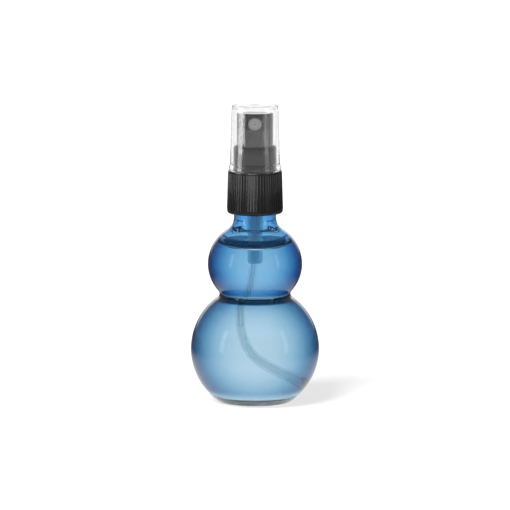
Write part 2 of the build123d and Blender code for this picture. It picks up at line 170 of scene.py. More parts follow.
# ---- Outlines --------------------------------------------------------------------------
def arc(centre, radii, start, end):
    """Finely spaced (radius, height) points on an ellipse, between two angles in degrees."""
    count = max(8, int(abs(math.radians(end - start)) * max(radii) / FINE_STEP))
    angles = np.radians(np.linspace(start, end, count))
    return np.stack([centre[0] + radii[0] * np.cos(angles), centre[1] + radii[1] * np.sin(angles)], 1)


def line(start, end):
    """Finely spaced points between two (radius, height) points."""
    start, end = np.array(start, float), np.array(end, float)
    count = max(2, int(np.linalg.norm(end - start) / FINE_STEP))
    return start + (end - start) * np.linspace(0, 1, count)[:, None]


def beside(points, distance):
    """A finely spaced run moved to its left by a distance."""
    along = np.gradient(points, axis=0)
    along /= np.linalg.norm(along, axis=1)[:, None]
    return points + distance * np.stack([-along[:, 1], along[:, 0]], 1)


def rounded(before, after, radius, side):
    """Two runs joined by an arc whose centre is on the left (1) or the right (-1)."""
    first = beside(before, side * radius)
    second = beside(after, side * radius)
    apart = np.linalg.norm(first[:, None] - second[None], axis=2)
    i, j = np.unravel_index(np.argmin(apart), apart.shape)
    centre = (first[i] + second[j]) / 2
    begin = math.degrees(math.atan2(*(before[i] - centre)[::-1]))
    finish = math.degrees(math.atan2(*(after[j] - centre)[::-1]))
    turn = (finish - begin) * side % 360 * side
    return np.concatenate([before[:i], arc(centre, (radius, radius), begin, begin + turn), after[j + 1 :]])


def thinned(points):
    """The run with only the points that its curvature needs."""
    kept = [points[0]]
    heading = None
    for here, after in zip(points[1:-1], points[2:]):
        step = after - here
        if np.hypot(*step) < 1e-9:
            continue
        angle = math.atan2(step[1], step[0])
        if heading is None:
            heading = angle
        turned = abs((angle - heading + math.pi) % (2 * math.pi) - math.pi)
        if turned > TURN_LIMIT or np.hypot(*(here - kept[-1])) > LENGTH_LIMIT:
            kept.append(here)
            heading = angle
    kept.append(points[-1])
    return [tuple(float(x) for x in p) for p in kept]


# ---- Modelling -------------------------------------------------------------------------
def start_piece(name):
    """A new object in edit mode that holds a single point at the origin."""
    if bpy.context.object and bpy.context.object.mode != "OBJECT":
        bpy.ops.object.mode_set(mode="OBJECT")
    bpy.ops.object.select_all(action="DESELECT")
    bpy.ops.mesh.primitive_circle_add(vertices=3, radius=SEED_R, location=(0, 0, 0))
    piece = bpy.context.object
    piece.name = piece.data.name = name
    bpy.ops.object.mode_set(mode="EDIT")
    bpy.ops.mesh.select_all(action="SELECT")
    bpy.ops.mesh.merge(type="CENTER")
    return piece


def draw_outline(points):
    """Extrudes the selected point along an outline of (radius, height) points in millimetres."""
    here = Vector((points[0][0], 0, points[0][1])) * MM
    bpy.ops.transform.translate(value=here)
    for r, z in points[1:]:
        there = Vector((r, 0, z)) * MM
        bpy.ops.mesh.extrude_region_move(TRANSFORM_OT_translate={"value": there - here})
        here = there


def spin_outline(steps):
    """Spins everything drawn around Z and closes the seam."""
    bpy.ops.mesh.select_all(action="SELECT")
    bpy.ops.mesh.spin(steps=steps, angle=2 * math.pi, center=(0, 0, 0), axis=(0, 0, 1))
    bpy.ops.mesh.select_all(action="SELECT")
    bpy.ops.mesh.remove_doubles(threshold=MERGE_DISTANCE)
    bpy.ops.mesh.normals_make_consistent(inside=False)


def end_piece(crease=CREASE_ANGLE):
    """Leaves edit mode with smooth faces and sharp corners."""
    bpy.ops.object.mode_set(mode="OBJECT")
    bpy.ops.object.shade_smooth_by_angle(angle=crease)


def turned(name, points, steps=ROUND_STEPS, crease=CREASE_ANGLE):
    """A piece turned about Z from an outline."""
    piece = start_piece(name)
    draw_outline(points)
    spin_outline(steps)
    end_piece(crease)
    return piece


def apply_modifier(piece, kind, **settings):
    """Adds a modifier, sets it and applies it."""
    bpy.ops.object.select_all(action="DESELECT")
    piece.select_set(True)
    bpy.context.view_layer.objects.active = piece
    modifier = piece.modifiers.new(kind.title(), kind)
    for key, value in settings.items():
        setattr(modifier, key, value)
    bpy.ops.object.modifier_apply(modifier=modifier.name)


def join(piece, *others):
    """Joins other pieces into this one."""
    bpy.ops.object.select_all(action="DESELECT")
    for other in (piece, *others):
        other.select_set(True)
    bpy.context.view_layer.objects.active = piece
    bpy.ops.object.join()


def dress(piece, material):
    """Gives a piece one material."""
    piece.data.materials.clear()
    piece.data.materials.append(material)


def receivers_of(name):
    """The collection of the pieces that a softbox lights."""
    return bpy.data.collections.get(name) or bpy.data.collections.new(name)


def place(piece, body, slot, *nodes):
    """Hangs a piece on a body's empty, puts it in the light-linking collections its slot calls for, sets
    whether diffuse rays see it, and hides the CAD nodes it stands for.
    """
    if slot in STRIP_LIT_SLOTS:
        receivers_of("lit_by_strips").objects.link(piece)
    if slot == "blue_glass":
        receivers_of("lit_by_glints").objects.link(piece)
    if slot == "black_plastic":
        receivers_of("lit_by_rib_glint").objects.link(piece)
    piece.visible_diffuse = piece.name not in CLEAR_PIECES
    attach(piece, body)
    if nodes:
        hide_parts(*nodes)


def mark_faces(piece, attribute, outline, first, last, highest=math.inf):
    """Marks the faces that come from one stretch of an outline and lie under a height."""
    outline = np.array(outline)
    middles = (outline[1:] + outline[:-1]) / 2
    values = []
    for face in piece.data.polygons:
        x, y, z = face.center / MM
        nearest = int(np.argmin(np.linalg.norm(middles - (math.hypot(x, y), z), axis=1)))
        values.append(1.0 if first <= nearest < last and z < highest else 0.0)
    layer = piece.data.attributes.new(attribute, "FLOAT", "FACE")
    layer.data.foreach_set("value", values)


# ---- Materials -------------------------------------------------------------------------
class Value:
    """A node socket that takes part in sums."""

    def __init__(self, shade, socket):
        self.shade, self.socket = shade, socket

    def _math(self, operation, first, second):
        return self.shade.add("ShaderNodeMath", {"operation": operation}, {0: first, 1: second})

    def __add__(self, other):
        return self._math("ADD", self, other)

    __radd__ = __add__

    def __sub__(self, other):
        return self._math("SUBTRACT", self, other)

    def __rsub__(self, other):
        return self._math("SUBTRACT", other, self)

    def __mul__(self, other):
        return self._math("MULTIPLY", self, other)

    __rmul__ = __mul__

    def __rpow__(self, other):
        return self._math("POWER", other, self)

    def ramp(self, low, high):
        """0 under low, 1 over high, smooth between."""
        inputs = {0: self, 1: low, 2: high}
        return self.shade.add("ShaderNodeMapRange", {"interpolation_type": "SMOOTHSTEP"}, inputs)


class Shade:
    """A material or a world, and the one way to add a node to it."""

    def __init__(self, name, home=None):
        self.material = (bpy.data.materials if home is None else home).new(name)
        self.material.use_nodes = True
        self.tree = self.material.node_tree
        self.tree.nodes.clear()

    def add(self, kind, settings=None, inputs=None, output=0):
        node = self.tree.nodes.new(kind)
        for key, value in (settings or {}).items():
            if key == "stops":
                ramp = node.color_ramp.elements
                while len(ramp) < len(value):
                    ramp.new(0.5)
                for element, (position, level) in zip(ramp, value):
                    element.position, element.color = position, (level, level, level, 1)
            else:
                setattr(node, key, value)
        for key, value in (inputs or {}).items():
            if isinstance(value, Value):
                self.tree.links.new(value.socket, node.inputs[key])
            else:
                node.inputs[key].default_value = value
        return Value(self, node.outputs[output])

    def position(self):
        return self.add("ShaderNodeTexCoord", output="Object")

    def noise(self, scale, detail=3.0, roughness=0.5):
        inputs = {"Vector": self.position(), "Scale": scale, "Detail": detail, "Roughness": roughness}
        return self.add("ShaderNodeTexNoise", inputs=inputs)

    def bump(self, height, strength, distance):
        inputs = {"Height": height, "Strength": strength, "Distance": distance}
        return self.add("ShaderNodeBump", inputs=inputs)

    def finish(self, surface, kind="ShaderNodeOutputMaterial"):
        node = self.tree.nodes.new(kind)
        self.tree.links.new(surface.socket, node.inputs["Surface"])
        return self.material


def rgba(tint):
    """An opaque colour for a socket."""
    return (*tint, 1.0)


def clear(shade, ior, roughness=0.0, tint=(1, 1, 1), normal=None, coat=0.0):
    """A shader that bends light through the surface."""
    base = tint if isinstance(tint, Value) else rgba(tint)
    inputs = {
        "Base Color": base,
        "Roughness": roughness,
        "IOR": ior,
        "Transmission Weight": 1.0,
        "Coat Weight": coat,
        "Coat IOR": COAT_IOR,
    }
    if normal:
        inputs["Normal"] = normal
    return shade.add("ShaderNodeBsdfPrincipled", inputs=inputs)


GLASS_IOR = 1.52
PERFUME_IOR = 1.36
PLASTIC_IOR = 1.49
COAT_IOR = 2.3          # fire-polished glass around the neck and the waist

# Heights in metres over which the bottle's glass changes
FOOT_ZONE = (0.0012, 0.0045)        # from the paler foot to the tinted wall
SKIN_ZONE = (0.0025, 0.0065)        # above it, glass seen along its skin is deeper, partly as painted shade
WAIST_ZONE = (0.036, 0.043)         # from the lower tint to the upper tint
SHADED_WAIST_RISE = (0.0384, 0.0391)        # the lower edge of the painted dark shade line around the waist
SHADED_WAIST_FALL = (0.0402, 0.0409)        # and its upper edge
DRY_ZONE = (0.0605, 0.0635)         # from glass with perfume behind it to glass with air
NECK_ZONE = (0.063, 0.071)          # from the upper tint to the neck's tint


def blue_glass(s):
    """Clear glass under a blue tint that deepens upwards and where it is seen along its skin, partly as
    painted shade, with a painted grey shade along its skin, around the waist and below the perfume.
    """
    shade = Shade("blue_glass")
    normal = shade.bump(shade.noise(90.0, 2.0), 0.25, 0.00008)
    height = shade.add("ShaderNodeSeparateXYZ", inputs={0: shade.position()}, output="Z")
    upper, neck, dry = [height.ramp(*zone) for zone in (WAIST_ZONE, NECK_ZONE, DRY_ZONE)]
    # painted shade: a dark band around the waist that deepens the blue and lays grey over it
    shaded_waist_band = height.ramp(*SHADED_WAIST_RISE) * (1 - height.ramp(*SHADED_WAIST_FALL))
    foot = height.ramp(*FOOT_ZONE) * 0.8 + 0.2
    outside = shade.add("ShaderNodeAttribute", {"attribute_name": "outside"}, output="Fac")
    facing = shade.add("ShaderNodeLayerWeight", inputs={"Blend": 0.5}, output="Facing")
    skim = facing * height.ramp(*SKIN_ZONE)
    # the blue: deeper up the bottle, along the skin (a longer path and painted shade) and around the waist
    # (thicker glass and painted shade)
    blue = upper * (s.upper_tint - s.lower_tint) + s.lower_tint
    blue = neck * (s.neck_tint - s.upper_tint) + blue
    shade_along_skin = (skim * 2.0 + skim * skim * (12.0 - upper * 4.2)) * (1 - dry * 0.75)
    depth = blue * (1 + shade_along_skin + shaded_waist_band * 3.0) * outside * foot
    # painted shade: an even grey over the blue, along the skin, in the band around the waist and over the
    # glass with perfume behind it
    painted_grey_shade = (skim * 0.35 + skim * skim * 3.4) * (1 - dry * 0.6)
    painted_grey_shade = (painted_grey_shade + shaded_waist_band * 3.6 + foot * (1 - dry) * 0.32) * outside * s.rim_shade
    fall = [math.exp(-1) ** (depth * weight + painted_grey_shade) for weight in s.tint_weights]
    tint = shade.add("ShaderNodeCombineColor", inputs=dict(zip(("Red", "Green", "Blue"), fall)))
    polish = (neck * 0.7 + shaded_waist_band * 0.4) * outside
    in_air = clear(shade, GLASS_IOR, tint=tint, normal=normal, coat=polish)
    in_perfume = clear(shade, GLASS_IOR / PERFUME_IOR, tint=tint, normal=normal)
    mask = shade.add("ShaderNodeAttribute", {"attribute_name": "wet"}, output="Fac")
    return shade.finish(shade.add("ShaderNodeMixShader", inputs={0: mask, 1: in_air, 2: in_perfume}))


def perfume():
    """Clear perfume: only its free surface bends light, as its sides are pressed to the glass; that surface
    carries a dark navy tint as painted shade.
    """
    shade = Shade("perfume")
    # painted shade: a dark navy tint on the free surface, standing in for the dark room it mirrors
    free = clear(shade, PERFUME_IOR, tint=(0.03, 0.08, 0.13))
    side = clear(shade, 1.0)
    mask = shade.add("ShaderNodeAttribute", {"attribute_name": "free_surface"}, output="Fac")
    return shade.finish(shade.add("ShaderNodeMixShader", inputs={0: mask, 1: side, 2: free}))


def moulded(name, tint, roughness, grain_scale, grain_depth, coat=0.0):
    """Injection-moulded plastic with a fine grain and faint wear."""
    shade = Shade(name)
    cloud = shade.noise(60.0, 4.0)
    grain = shade.noise(grain_scale, 2.0, 0.6)
    normal = shade.bump(grain, 0.35, grain_depth)
    base = shade.add(
        "ShaderNodeMix",
        {"data_type": "RGBA"},
        {0: cloud, 6: rgba([c * 0.8 for c in tint]), 7: rgba([min(1, c * 1.25) for c in tint])},
        output=2,
    )
    inputs = {
        "Base Color": base,
        "Roughness": cloud * 0.12 + (roughness - 0.06),
        "IOR": PLASTIC_IOR,
        "Coat Weight": coat,
        "Normal": normal,
    }
    return shade.finish(shade.add("ShaderNodeBsdfPrincipled", inputs=inputs))


def clear_plastic():
    """Clear moulded overcap, greyed as painted shade where its walls are seen side-on."""
    shade = Shade("clear_plastic")
    normal = shade.bump(shade.noise(120.0, 2.0), 0.15, 0.00005)
    skim = shade.add("ShaderNodeLayerWeight", inputs={"Blend": 0.5}, output="Facing")
    # painted shade: the tint greys from 0.97 face-on to 0.72 where the wall is seen side-on
    inputs = {0: skim.ramp(0.1, 1.0), 6: (0.97, 0.97, 0.97, 1), 7: (0.72, 0.72, 0.72, 1)}
    tint = shade.add("ShaderNodeMix", {"data_type": "RGBA"}, inputs, output=2)
    return shade.finish(clear(shade, PLASTIC_IOR, 0.06, tint, normal))


def milky_plastic(name, tint, body, ior, roughness):
    """Natural translucent plastic: partly clear, partly milky."""
    shade = Shade(name)
    inside = clear(shade, ior, roughness, tint)
    milk = shade.add("ShaderNodeBsdfTranslucent", inputs={"Color": rgba(tint)})
    skin = shade.add("ShaderNodeBsdfDiffuse", inputs={"Color": rgba(tint)})
    cloud = shade.add("ShaderNodeMixShader", inputs={0: 0.5, 1: milk, 2: skin})
    amount = shade.noise(150.0) * 0.1 + (body - 0.05)
    return shade.finish(shade.add("ShaderNodeMixShader", inputs={0: amount, 1: inside, 2: cloud}))


def air_bubble():
    """Air held inside the perfume."""
    shade = Shade("trapped_air")
    return shade.finish(
        shade.add("ShaderNodeBsdfGlass", inputs={"IOR": 1 / PERFUME_IOR, "Roughness": 0.0})
    )


def metal(name, tint, roughness):
    """Drawn or polished steel."""
    shade = Shade(name)
    streaks = shade.noise(900.0, 2.0)
    inputs = {"Base Color": rgba(tint), "Metallic": 1.0, "Roughness": streaks * 0.1 + roughness}
    return shade.finish(shade.add("ShaderNodeBsdfPrincipled", inputs=inputs))


# ---- Operators -------------------------------------------------------------------------
class Builder:
    """What every operator here shares."""

    bl_options = {"REGISTER"}

    def execute(self, context):
        self.build(context.scene)
        return {"FINISHED"}


class ATOMISER_OT_bottle(Builder, bpy.types.Operator):
    """Blows the two-bulb bottle with its neck"""

    bl_idname = "atomiser.bottle"
    bl_label = "Bottle"

    def build(self, scene):
        outside, inside = bottle_outlines(scene.atomiser_bottle)
        outline = outside + inside
        piece = turned("glass_bottle", outline, crease=math.radians(60))
        contact = scene.atomiser_perfume.contact_z / MM
        mark_faces(piece, "wet", outline, len(outside), len(outline), contact)
        mark_faces(piece, "outside", outline, 0, len(outside))
        dress(piece, blue_glass(scene.atomiser_bottle))
        place(piece, "bottle", "blue_glass", "bottle")


def bottle_outlines(s):
    """The bottle's outside, from the punt up to the lip, and its inside, back down to the floor."""
    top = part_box("bottle")[1].z / MM
    low_r, low_z, high_z = s.lower_r / MM, s.lower_z / MM, s.upper_z / MM
    neck_r, bore_r, lip = s.neck_r / MM, s.neck_bore_r / MM, s.lip_fillet / MM
    punt_r, punt_depth = s.punt_r / MM, s.punt_depth / MM
    punt_sphere = (punt_r**2 + punt_depth**2) / (2 * punt_depth)
    punt_angle = math.degrees(math.asin(punt_r / punt_sphere))
    high = (s.upper_r / MM, s.upper_half_h / MM)
    punt_centre = (0, punt_depth - punt_sphere)
    punt = arc(punt_centre, (punt_sphere, punt_sphere), 90, 90 - punt_angle)
    run = line((punt_r, 0), (low_r, 0))
    run = rounded(run, arc((0, low_z), (low_r, low_r), -85, 85), s.heel_fillet / MM, 1)
    run = rounded(run, arc((0, high_z), high, -85, 85), s.waist_fillet / MM, -1)
    run = rounded(run, line((neck_r, high_z), (neck_r, top)), s.shoulder_fillet / MM, -1)
    run = rounded(run, line((neck_r, top), (bore_r, top)), lip, 1)
    outside = np.concatenate([punt, run])
    floor = s.base_thickness / MM
    high = (high[0] - s.upper_wall / MM, high[1] - s.upper_wall / MM)
    low_r -= s.lower_wall / MM
    bore = line((bore_r, top), (bore_r, high_z))
    run = rounded(line((bore_r + 1, top), (bore_r, top)), bore, 0.2, 1)
    run = rounded(run, arc((0, high_z), high, 85, -85), s.shoulder_bore_fillet / MM, 1)
    run = rounded(run, arc((0, low_z), (low_r, low_r), 85, -85), s.waist_bore_fillet / MM, 1)
    run = rounded(run, line((low_r, floor), (0, floor)), s.floor_fillet / MM, -1)
    return thinned(outside)[:-1], thinned(run)[1:]


class ATOMISER_OT_perfume(Builder, bpy.types.Operator):
    """Fills the bottle with perfume"""

    bl_idname = "atomiser.perfume"
    bl_label = "Perfume"

    def build(self, scene):
        s = scene.atomiser_perfume
        level, film = s.level / MM, s.film / MM
        inside = [p for p in bottle_outlines(scene.atomiser_bottle)[1] if p[1] <= s.contact_z / MM]
        wall = [(max(r - film, 0.0), z + (film if r < 12 and z < 5 else 0.0)) for r, z in inside]
        wall[-1] = (0.0, wall[-1][1])
        # the edge leaves the glass along it, turns, and runs out into the flat surface
        edge, along = Vector(wall[0]), (Vector(wall[1]) - Vector(wall[0])).normalized()
        flat = Vector((edge.x - 3.5, level))
        curve = [edge, edge + along * 2.2, Vector((edge.x + 1.4, level)), flat]
        t = np.linspace(1, 0, 28)[:, None]
        meniscus = sum(
            weight * np.array(point)
            for weight, point in zip(((1 - t) ** 3, 3 * t * (1 - t) ** 2, 3 * t**2 * (1 - t), t**3), curve)
        )
        surface = [(float(r), level) for r in np.linspace(0, flat.x - 1.0, 5)]
        surface += [tuple(float(x) for x in point) for point in meniscus[:-1]]
        outline = surface + wall
        piece = turned("perfume", outline, crease=math.radians(75))
        mark_faces(piece, "free_surface", outline, 0, len(surface))
        dress(piece, perfume())
        place(piece, "bottle", "blue_glass")


class ATOMISER_OT_closure(Builder, bpy.types.Operator):
    """Moulds the ribbed closure and its tower"""

    bl_idname = "atomiser.closure"
    bl_label = "Screw closure"

    def build(self, scene):
        s = scene.atomiser_closure
        outline = [
            (9.05, 71.6), (9.15, 71.5), (9.85, 71.5), (10.0, 71.58), (10.3, 71.95), (10.42, 72.15),
            (10.47, 72.5), (10.5, 72.95), (10.42, 73.05), (10.2, 73.1), (9.8, 86.6), (10.02, 86.75),
            (10.1, 86.85), (10.1, 87.2), (10.03, 87.4), (9.85, 87.5), (8.35, 87.5), (8.2, 87.55),
            (8.15, 87.7), (8.15, 88.5), (8.3, 88.8), (8.15, 89.1), (8.1, 91.0), (8.03, 95.7),
            (7.98, 96.1), (7.85, 96.45), (7.62, 96.7), (7.4, 96.8), (7.25, 96.77), (7.12, 96.6),
            (7.1, 96.4), (7.1, 87.5), (5.7, 87.5), (5.7, 86.5), (9.05, 86.5), (9.05, 71.6),
        ]
        piece = turned("screw_closure", outline, crease=math.radians(40))
        rib = self.rib(s)
        ribs = circled(rib, RIB_COUNT)
        join(piece, *ribs)
        dress(piece, moulded("black_plastic", s.plastic_colour, 0.22, 2600.0, 0.00003))
        place(piece, "collar", "black_plastic", "closure")

    def rib(self, s):
        """One rib: a long bar with rounded edges that leans with the skirt."""
        low, high = 72.95, 86.85
        foot_r, top_r = 10.2, 9.8
        bpy.ops.object.select_all(action="DESELECT")
        bpy.ops.mesh.primitive_cube_add(size=1, location=(0, 0, 0))
        rib = bpy.context.object
        rib.name = "rib"
        bpy.ops.object.mode_set(mode="EDIT")
        bpy.ops.mesh.select_all(action="SELECT")
        depth = 2 * s.rib_height
        bpy.ops.transform.resize(value=(depth, s.rib_width, (high - low) * MM))
        middle = Vector(((foot_r + top_r) / 2, 0, (low + high) / 2)) * MM
        bpy.ops.transform.translate(value=middle)
        bpy.ops.mesh.bevel(offset=0.2 * MM, segments=3, affect="EDGES")
        bpy.ops.object.mode_set(mode="OBJECT")
        lean = math.atan2(foot_r - top_r, high - low)
        bpy.ops.object.mode_set(mode="EDIT")
        bpy.ops.transform.rotate(value=lean, orient_axis="Y", center_override=middle)
        bpy.ops.object.mode_set(mode="OBJECT")
        bpy.ops.object.shade_smooth_by_angle(angle=math.radians(50))
        return rib


def circled(piece, count):
    """Copies of a piece around Z, each with its own mesh."""
    copies = [piece]
    for k in range(1, count):
        bpy.ops.object.select_all(action="DESELECT")
        piece.select_set(True)
        bpy.context.view_layer.objects.active = piece
        bpy.ops.object.duplicate(linked=False)
        copy = bpy.context.object
        bpy.ops.object.mode_set(mode="EDIT")
        bpy.ops.mesh.select_all(action="SELECT")
        bpy.ops.transform.rotate(
            value=2 * math.pi * k / count, orient_axis="Z", center_override=(0, 0, 0)
        )
        bpy.ops.object.mode_set(mode="OBJECT")
        copies.append(copy)
    return copies


class ATOMISER_OT_overcap(Builder, bpy.types.Operator):
    """Moulds the clear overcap"""

    bl_idname = "atomiser.overcap"
    bl_label = "Overcap"

    def build(self, scene):
        outline = [
            (0, 112.1), (8.1, 112.1), (8.35, 112.06), (8.53, 111.95), (8.65, 111.77), (8.7, 111.5),
            (9.36, 90.4), (9.42, 89.9), (9.55, 89.5), (9.8, 89.1), (9.85, 88.9), (9.85, 87.7),
            (9.75, 87.56), (8.56, 87.56), (8.46, 87.7), (8.46, 89.5), (8.36, 89.8), (8.46, 90.1),
            (8.46, 90.7), (7.92, 110.5), (7.8, 110.82), (7.5, 111.0), (0.9, 111.0), (0.75, 110.9),
            (0.5, 110.55), (0, 110.5),
        ]
        piece = turned("clear_overcap", outline, crease=math.radians(35))
        dress(piece, clear_plastic())
        place(piece, "cap", "clear_plastic", "overcap")


class ATOMISER_OT_spray_head(Builder, bpy.types.Operator):
    """Moulds the spray button and its nozzle insert"""

    bl_idname = "atomiser.spray_head"
    bl_label = "Spray head"

    def build(self, scene):
        s = scene.atomiser_spray
        outline = [
            (0, 97.3), (3.2, 97.3), (3.2, 101.0), (5.85, 101.0), (5.85, 93.1), (5.95, 93.0),
            (6.75, 93.0), (6.85, 93.1), (6.85, 109.0), (6.82, 109.2), (6.72, 109.37), (6.55, 109.47),
            (6.35, 109.5), (6.0, 109.45), (5.5, 109.37), (4.5, 109.22), (3.0, 109.08), (1.5, 109.01),
            (0, 109.0),
        ]
        piece = turned("spray_button", outline, crease=math.radians(40))
        bpy.ops.object.select_all(action="DESELECT")
        bpy.ops.mesh.primitive_cylinder_add(
            vertices=SMALL_ROUND_STEPS, radius=2.5 * MM, depth=3.6 * MM, location=(0, 0, 0)
        )
        drill = bpy.context.object
        bpy.ops.object.mode_set(mode="EDIT")
        bpy.ops.transform.rotate(value=math.pi / 2, orient_axis="X", center_override=(0, 0, 0))
        bpy.ops.transform.translate(value=(0, -5.6 * MM, 105.5 * MM))
        bpy.ops.object.mode_set(mode="OBJECT")
        apply_modifier(piece, "BOOLEAN", object=drill, operation="DIFFERENCE", solver="EXACT")
        bpy.data.objects.remove(drill)
        bpy.ops.object.shade_smooth_by_angle(angle=math.radians(40))
        dress(piece, moulded("black_gloss_plastic", s.button_colour, 0.26, 1800.0, 0.00002, 1.0))
        place(piece, "head", "black_gloss_plastic", "actuator")
        self.insert(s)

    def insert(self, s):
        face = [
            (0, -0.55), (0.15, -0.5), (0.16, -0.25), (0.25, -0.2), (0.5, 0.0), (1.25, 0.0),
            (1.32, -0.1), (1.5, -0.12), (1.62, -0.05), (1.7, 0.0), (2.3, 0.0), (2.45, -0.08),
            (2.48, -0.2), (2.48, -1.7), (0, -1.7),
        ]
        piece = start_piece("nozzle_face")
        draw_outline(face)
        spin_outline(SMALL_ROUND_STEPS)
        bpy.ops.mesh.select_all(action="SELECT")
        bpy.ops.transform.rotate(value=-math.pi / 2, orient_axis="X", center_override=(0, 0, 0))
        bpy.ops.transform.translate(value=(0, -6.2 * MM, 105.5 * MM))
        end_piece(math.radians(35))
        dress(piece, moulded("grey_plastic", s.insert_colour, 0.42, 2400.0, 0.00002))
        place(piece, "head", "grey_plastic", "nozzle_insert")


TUBE_ROUTE = [
    (0.0, 0.0, 60.3), (0.0, 0.0, 51.0), (-2.9, 1.9, 40.5), (-3.9, 7.6, 30.0), (-3.1, 13.4, 19.4),
    (1.4, 16.1, 13.1), (8.8, 15.7, 10.7),
]


class ATOMISER_OT_pump(Builder, bpy.types.Operator):
    """Models the pump housing, the dip tube and the small parts of the pump"""

    bl_idname = "atomiser.pump"
    bl_label = "Pump and dip tube"

    def build(self, scene):
        self.housing()
        self.dip_tube(scene)
        self.spring()
        white = moulded("white_plastic", (0.78, 0.78, 0.76), 0.4, 1500.0, 0.00002)
        soft = moulded("soft_white_plastic", (0.82, 0.82, 0.8), 0.5, 1500.0, 0.00002)
        foam = moulded("gasket_foam", (0.8, 0.8, 0.77), 0.85, 5200.0, 0.0001)
        for name in ("turret", "stem", "poppet", "spring_seat"):
            dress(frame["nodes"][name], white)
        dress(frame["nodes"]["piston"], soft)
        dress(frame["nodes"]["gasket"], foam)
        dress(frame["nodes"]["check_ball"], metal("ball_steel", (0.62, 0.62, 0.64), 0.08))

    def housing(self):
        outline = [
            (3.1, 89.0), (3.1, 73.2), (1.85, 73.2), (1.85, 63.6), (1.5, 63.6), (1.5, 61.6),
            (0.7, 60.9), (0.7, 60.4), (1.1, 60.4), (1.1, 52.3), (1.2, 52.2), (1.75, 52.2),
            (2.0, 52.4), (2.1, 52.8), (2.1, 57.7), (2.64, 57.95), (2.66, 58.1), (2.66, 63.7),
            (2.84, 63.95), (2.9, 64.1), (2.9, 71.0), (2.97, 71.2), (3.75, 72.2), (3.9, 72.4),
            (3.9, 86.9), (4.5, 87.0), (4.5, 88.9), (4.4, 89.0), (3.1, 89.0),
        ]
        piece = turned("pump_body", outline, steps=96)
        dress(piece, milky_plastic("translucent_plastic", (0.50, 0.82, 0.98), 0.38, 1.2, 0.18))
        place(piece, "pump", "translucent_plastic", "pump_housing")

    def dip_tube(self, scene):
        tube = swept("tube_wall", TUBE_ROUTE, 1.1)
        apply_modifier(tube, "SOLIDIFY", thickness=0.5 * MM, offset=-1.0, use_rim=True)
        bpy.ops.object.shade_smooth_by_angle(angle=math.radians(50))
        dress(tube, milky_plastic("tube_plastic", (0.90, 0.97, 0.99), 0.14, 1.5 / PERFUME_IOR, 0.10))
        place(tube, "pump", "tube_plastic", "dip_tube")
        air = swept("air_in_tube", TUBE_ROUTE, 0.56, filled=True)
        bpy.ops.object.mode_set(mode="EDIT")
        bpy.ops.mesh.select_all(action="SELECT")
        bpy.ops.mesh.bisect(
            plane_co=(0, 0, scene.atomiser_perfume.tube_level),
            plane_no=(0, 0, 1),
            clear_inner=True,
            use_fill=True,
        )
        end_piece(math.radians(60))
        dress(air, air_bubble())
        place(air, "pump", "tube_plastic")

    def spring(self):
        bpy.ops.object.select_all(action="DESELECT")
        node = frame["nodes"]["return_spring"]
        node.select_set(True)
        bpy.context.view_layer.objects.active = node
        bpy.ops.object.duplicate(linked=False)
        spring = bpy.context.object
        spring.name = "coil_spring"
        for key in list(spring.keys()):
            del spring[key]
        bpy.ops.object.mode_set(mode="EDIT")
        bpy.ops.mesh.select_all(action="SELECT")
        bpy.ops.mesh.remove_doubles(threshold=MERGE_DISTANCE)
        end_piece(math.radians(45))
        dress(spring, metal("spring_steel", (0.55, 0.55, 0.57), 0.28))
        low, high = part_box("return_spring")
        place(spring, "pump", "spring_steel", "return_spring")
        stroke = next(j for j in frame["joints"] if j["name"] == "spray_stroke")["range_m"][1]
        keep = 1 - stroke / (high.z - low.z)
        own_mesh(spring)


def swept(name, route, radius, filled=False):
    """A round tube along a smooth spline through a route, as a mesh."""
    bpy.ops.object.select_all(action="DESELECT")
    curve = bpy.data.curves.new(name, "CURVE")
    curve.dimensions = "3D"
    spline = curve.splines.new("NURBS")
    spline.points.add(len(route) - 1)
    for point, place_mm in zip(spline.points, route):
        point.co = (*(Vector(place_mm) * MM), 1)
    spline.order_u = 3
    spline.use_endpoint_u = True
    spline.resolution_u = 24
    curve.bevel_depth = radius * MM
    curve.bevel_resolution = 10
    curve.use_fill_caps = filled
    piece = bpy.data.objects.new(name, curve)
    bpy.context.scene.collection.objects.link(piece)
    piece.select_set(True)
    bpy.context.view_layer.objects.active = piece
    bpy.ops.object.convert(target="MESH")
    piece = bpy.context.object
    bpy.ops.object.mode_set(mode="EDIT")
    bpy.ops.mesh.select_all(action="SELECT")
    bpy.ops.mesh.remove_doubles(threshold=MERGE_DISTANCE)
    bpy.ops.mesh.normals_make_consistent(inside=False)
    bpy.ops.object.mode_set(mode="OBJECT")
    return piece


SOFTBOX_HEIGHT = 1.2
SOFTBOXES = (       # name, azimuth, width, power and the pieces that it lights
    ("left_strip", -76, 0.42, 9.0, "lit_by_strips"),
    ("right_strip", 58, 0.36, 1.8, "lit_by_strips"),
    ("left_glint", -62, 0.16, 0.8, "lit_by_glints"),
    ("right_glint", 58, 0.12, 0.5, "lit_by_glints"),
    ("rib_glint", -14, 0.7, 12.0, "lit_by_rib_glint"),
)


